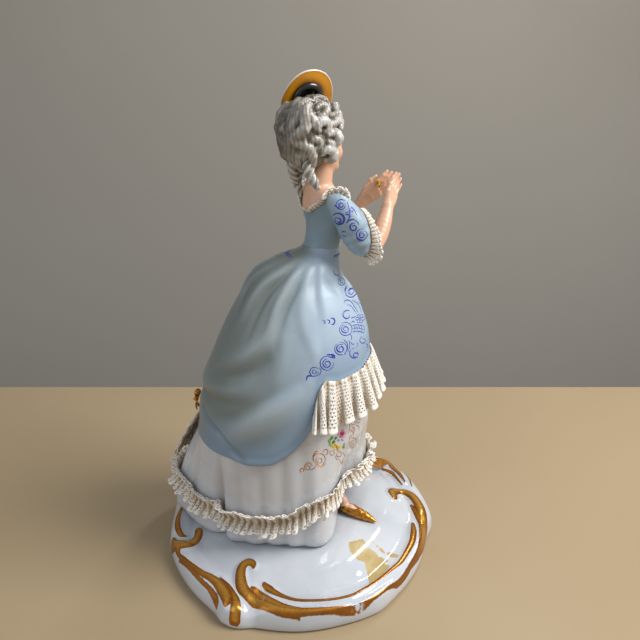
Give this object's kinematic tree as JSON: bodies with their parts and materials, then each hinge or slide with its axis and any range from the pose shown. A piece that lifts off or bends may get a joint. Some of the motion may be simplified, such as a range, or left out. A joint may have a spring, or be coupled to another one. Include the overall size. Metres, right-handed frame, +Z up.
{
  "type": "porcelain lady figurine",
  "caption": "Standing porcelain lady in a wide gathered overskirt, lace ruffle and flounce, small tilted hat and raised joined hands, on a round scroll-edged base.",
  "frame": {"origin": "centre of the bounding box at the level of the base's underside", "axes": "+Z up along the figure's height, -Y the way the figure faces, +X to the figure's left"},
  "size_m": [0.149, 0.1538, 0.2511],
  "materials": {
    "base_glaze": "glossy clear glaze over white porcelain, gilt scrolls on the rim",
    "painted_porcelain": "satin porcelain, airbrushed blue with cobalt and gilt ornament",
    "hat_yellow": "yellow enamel on porcelain",
    "ruffle_lace": "unglazed porcelain lace",
    "flounce_lace": "unglazed porcelain lace",
    "side_lace_bisque": "unglazed porcelain lace",
    "bow_gilt": "burnished gilt on porcelain",
    "neck_lace_bisque": "unglazed porcelain lace",
    "cuff_lace_bisque": "unglazed porcelain lace"
  },
  "bodies": {
    "root": {"base": "base_glaze", "lady": "painted_porcelain", "hat": "hat_yellow", "hem_ruffle": "ruffle_lace", "flounce": "flounce_lace", "side_lace": "side_lace_bisque", "side_bow": "bow_gilt", "neckline_lace": "neck_lace_bisque", "right_cuff_lace": "cuff_lace_bisque", "left_cuff_lace": "cuff_lace_bisque"}
  },
  "joints": []
}
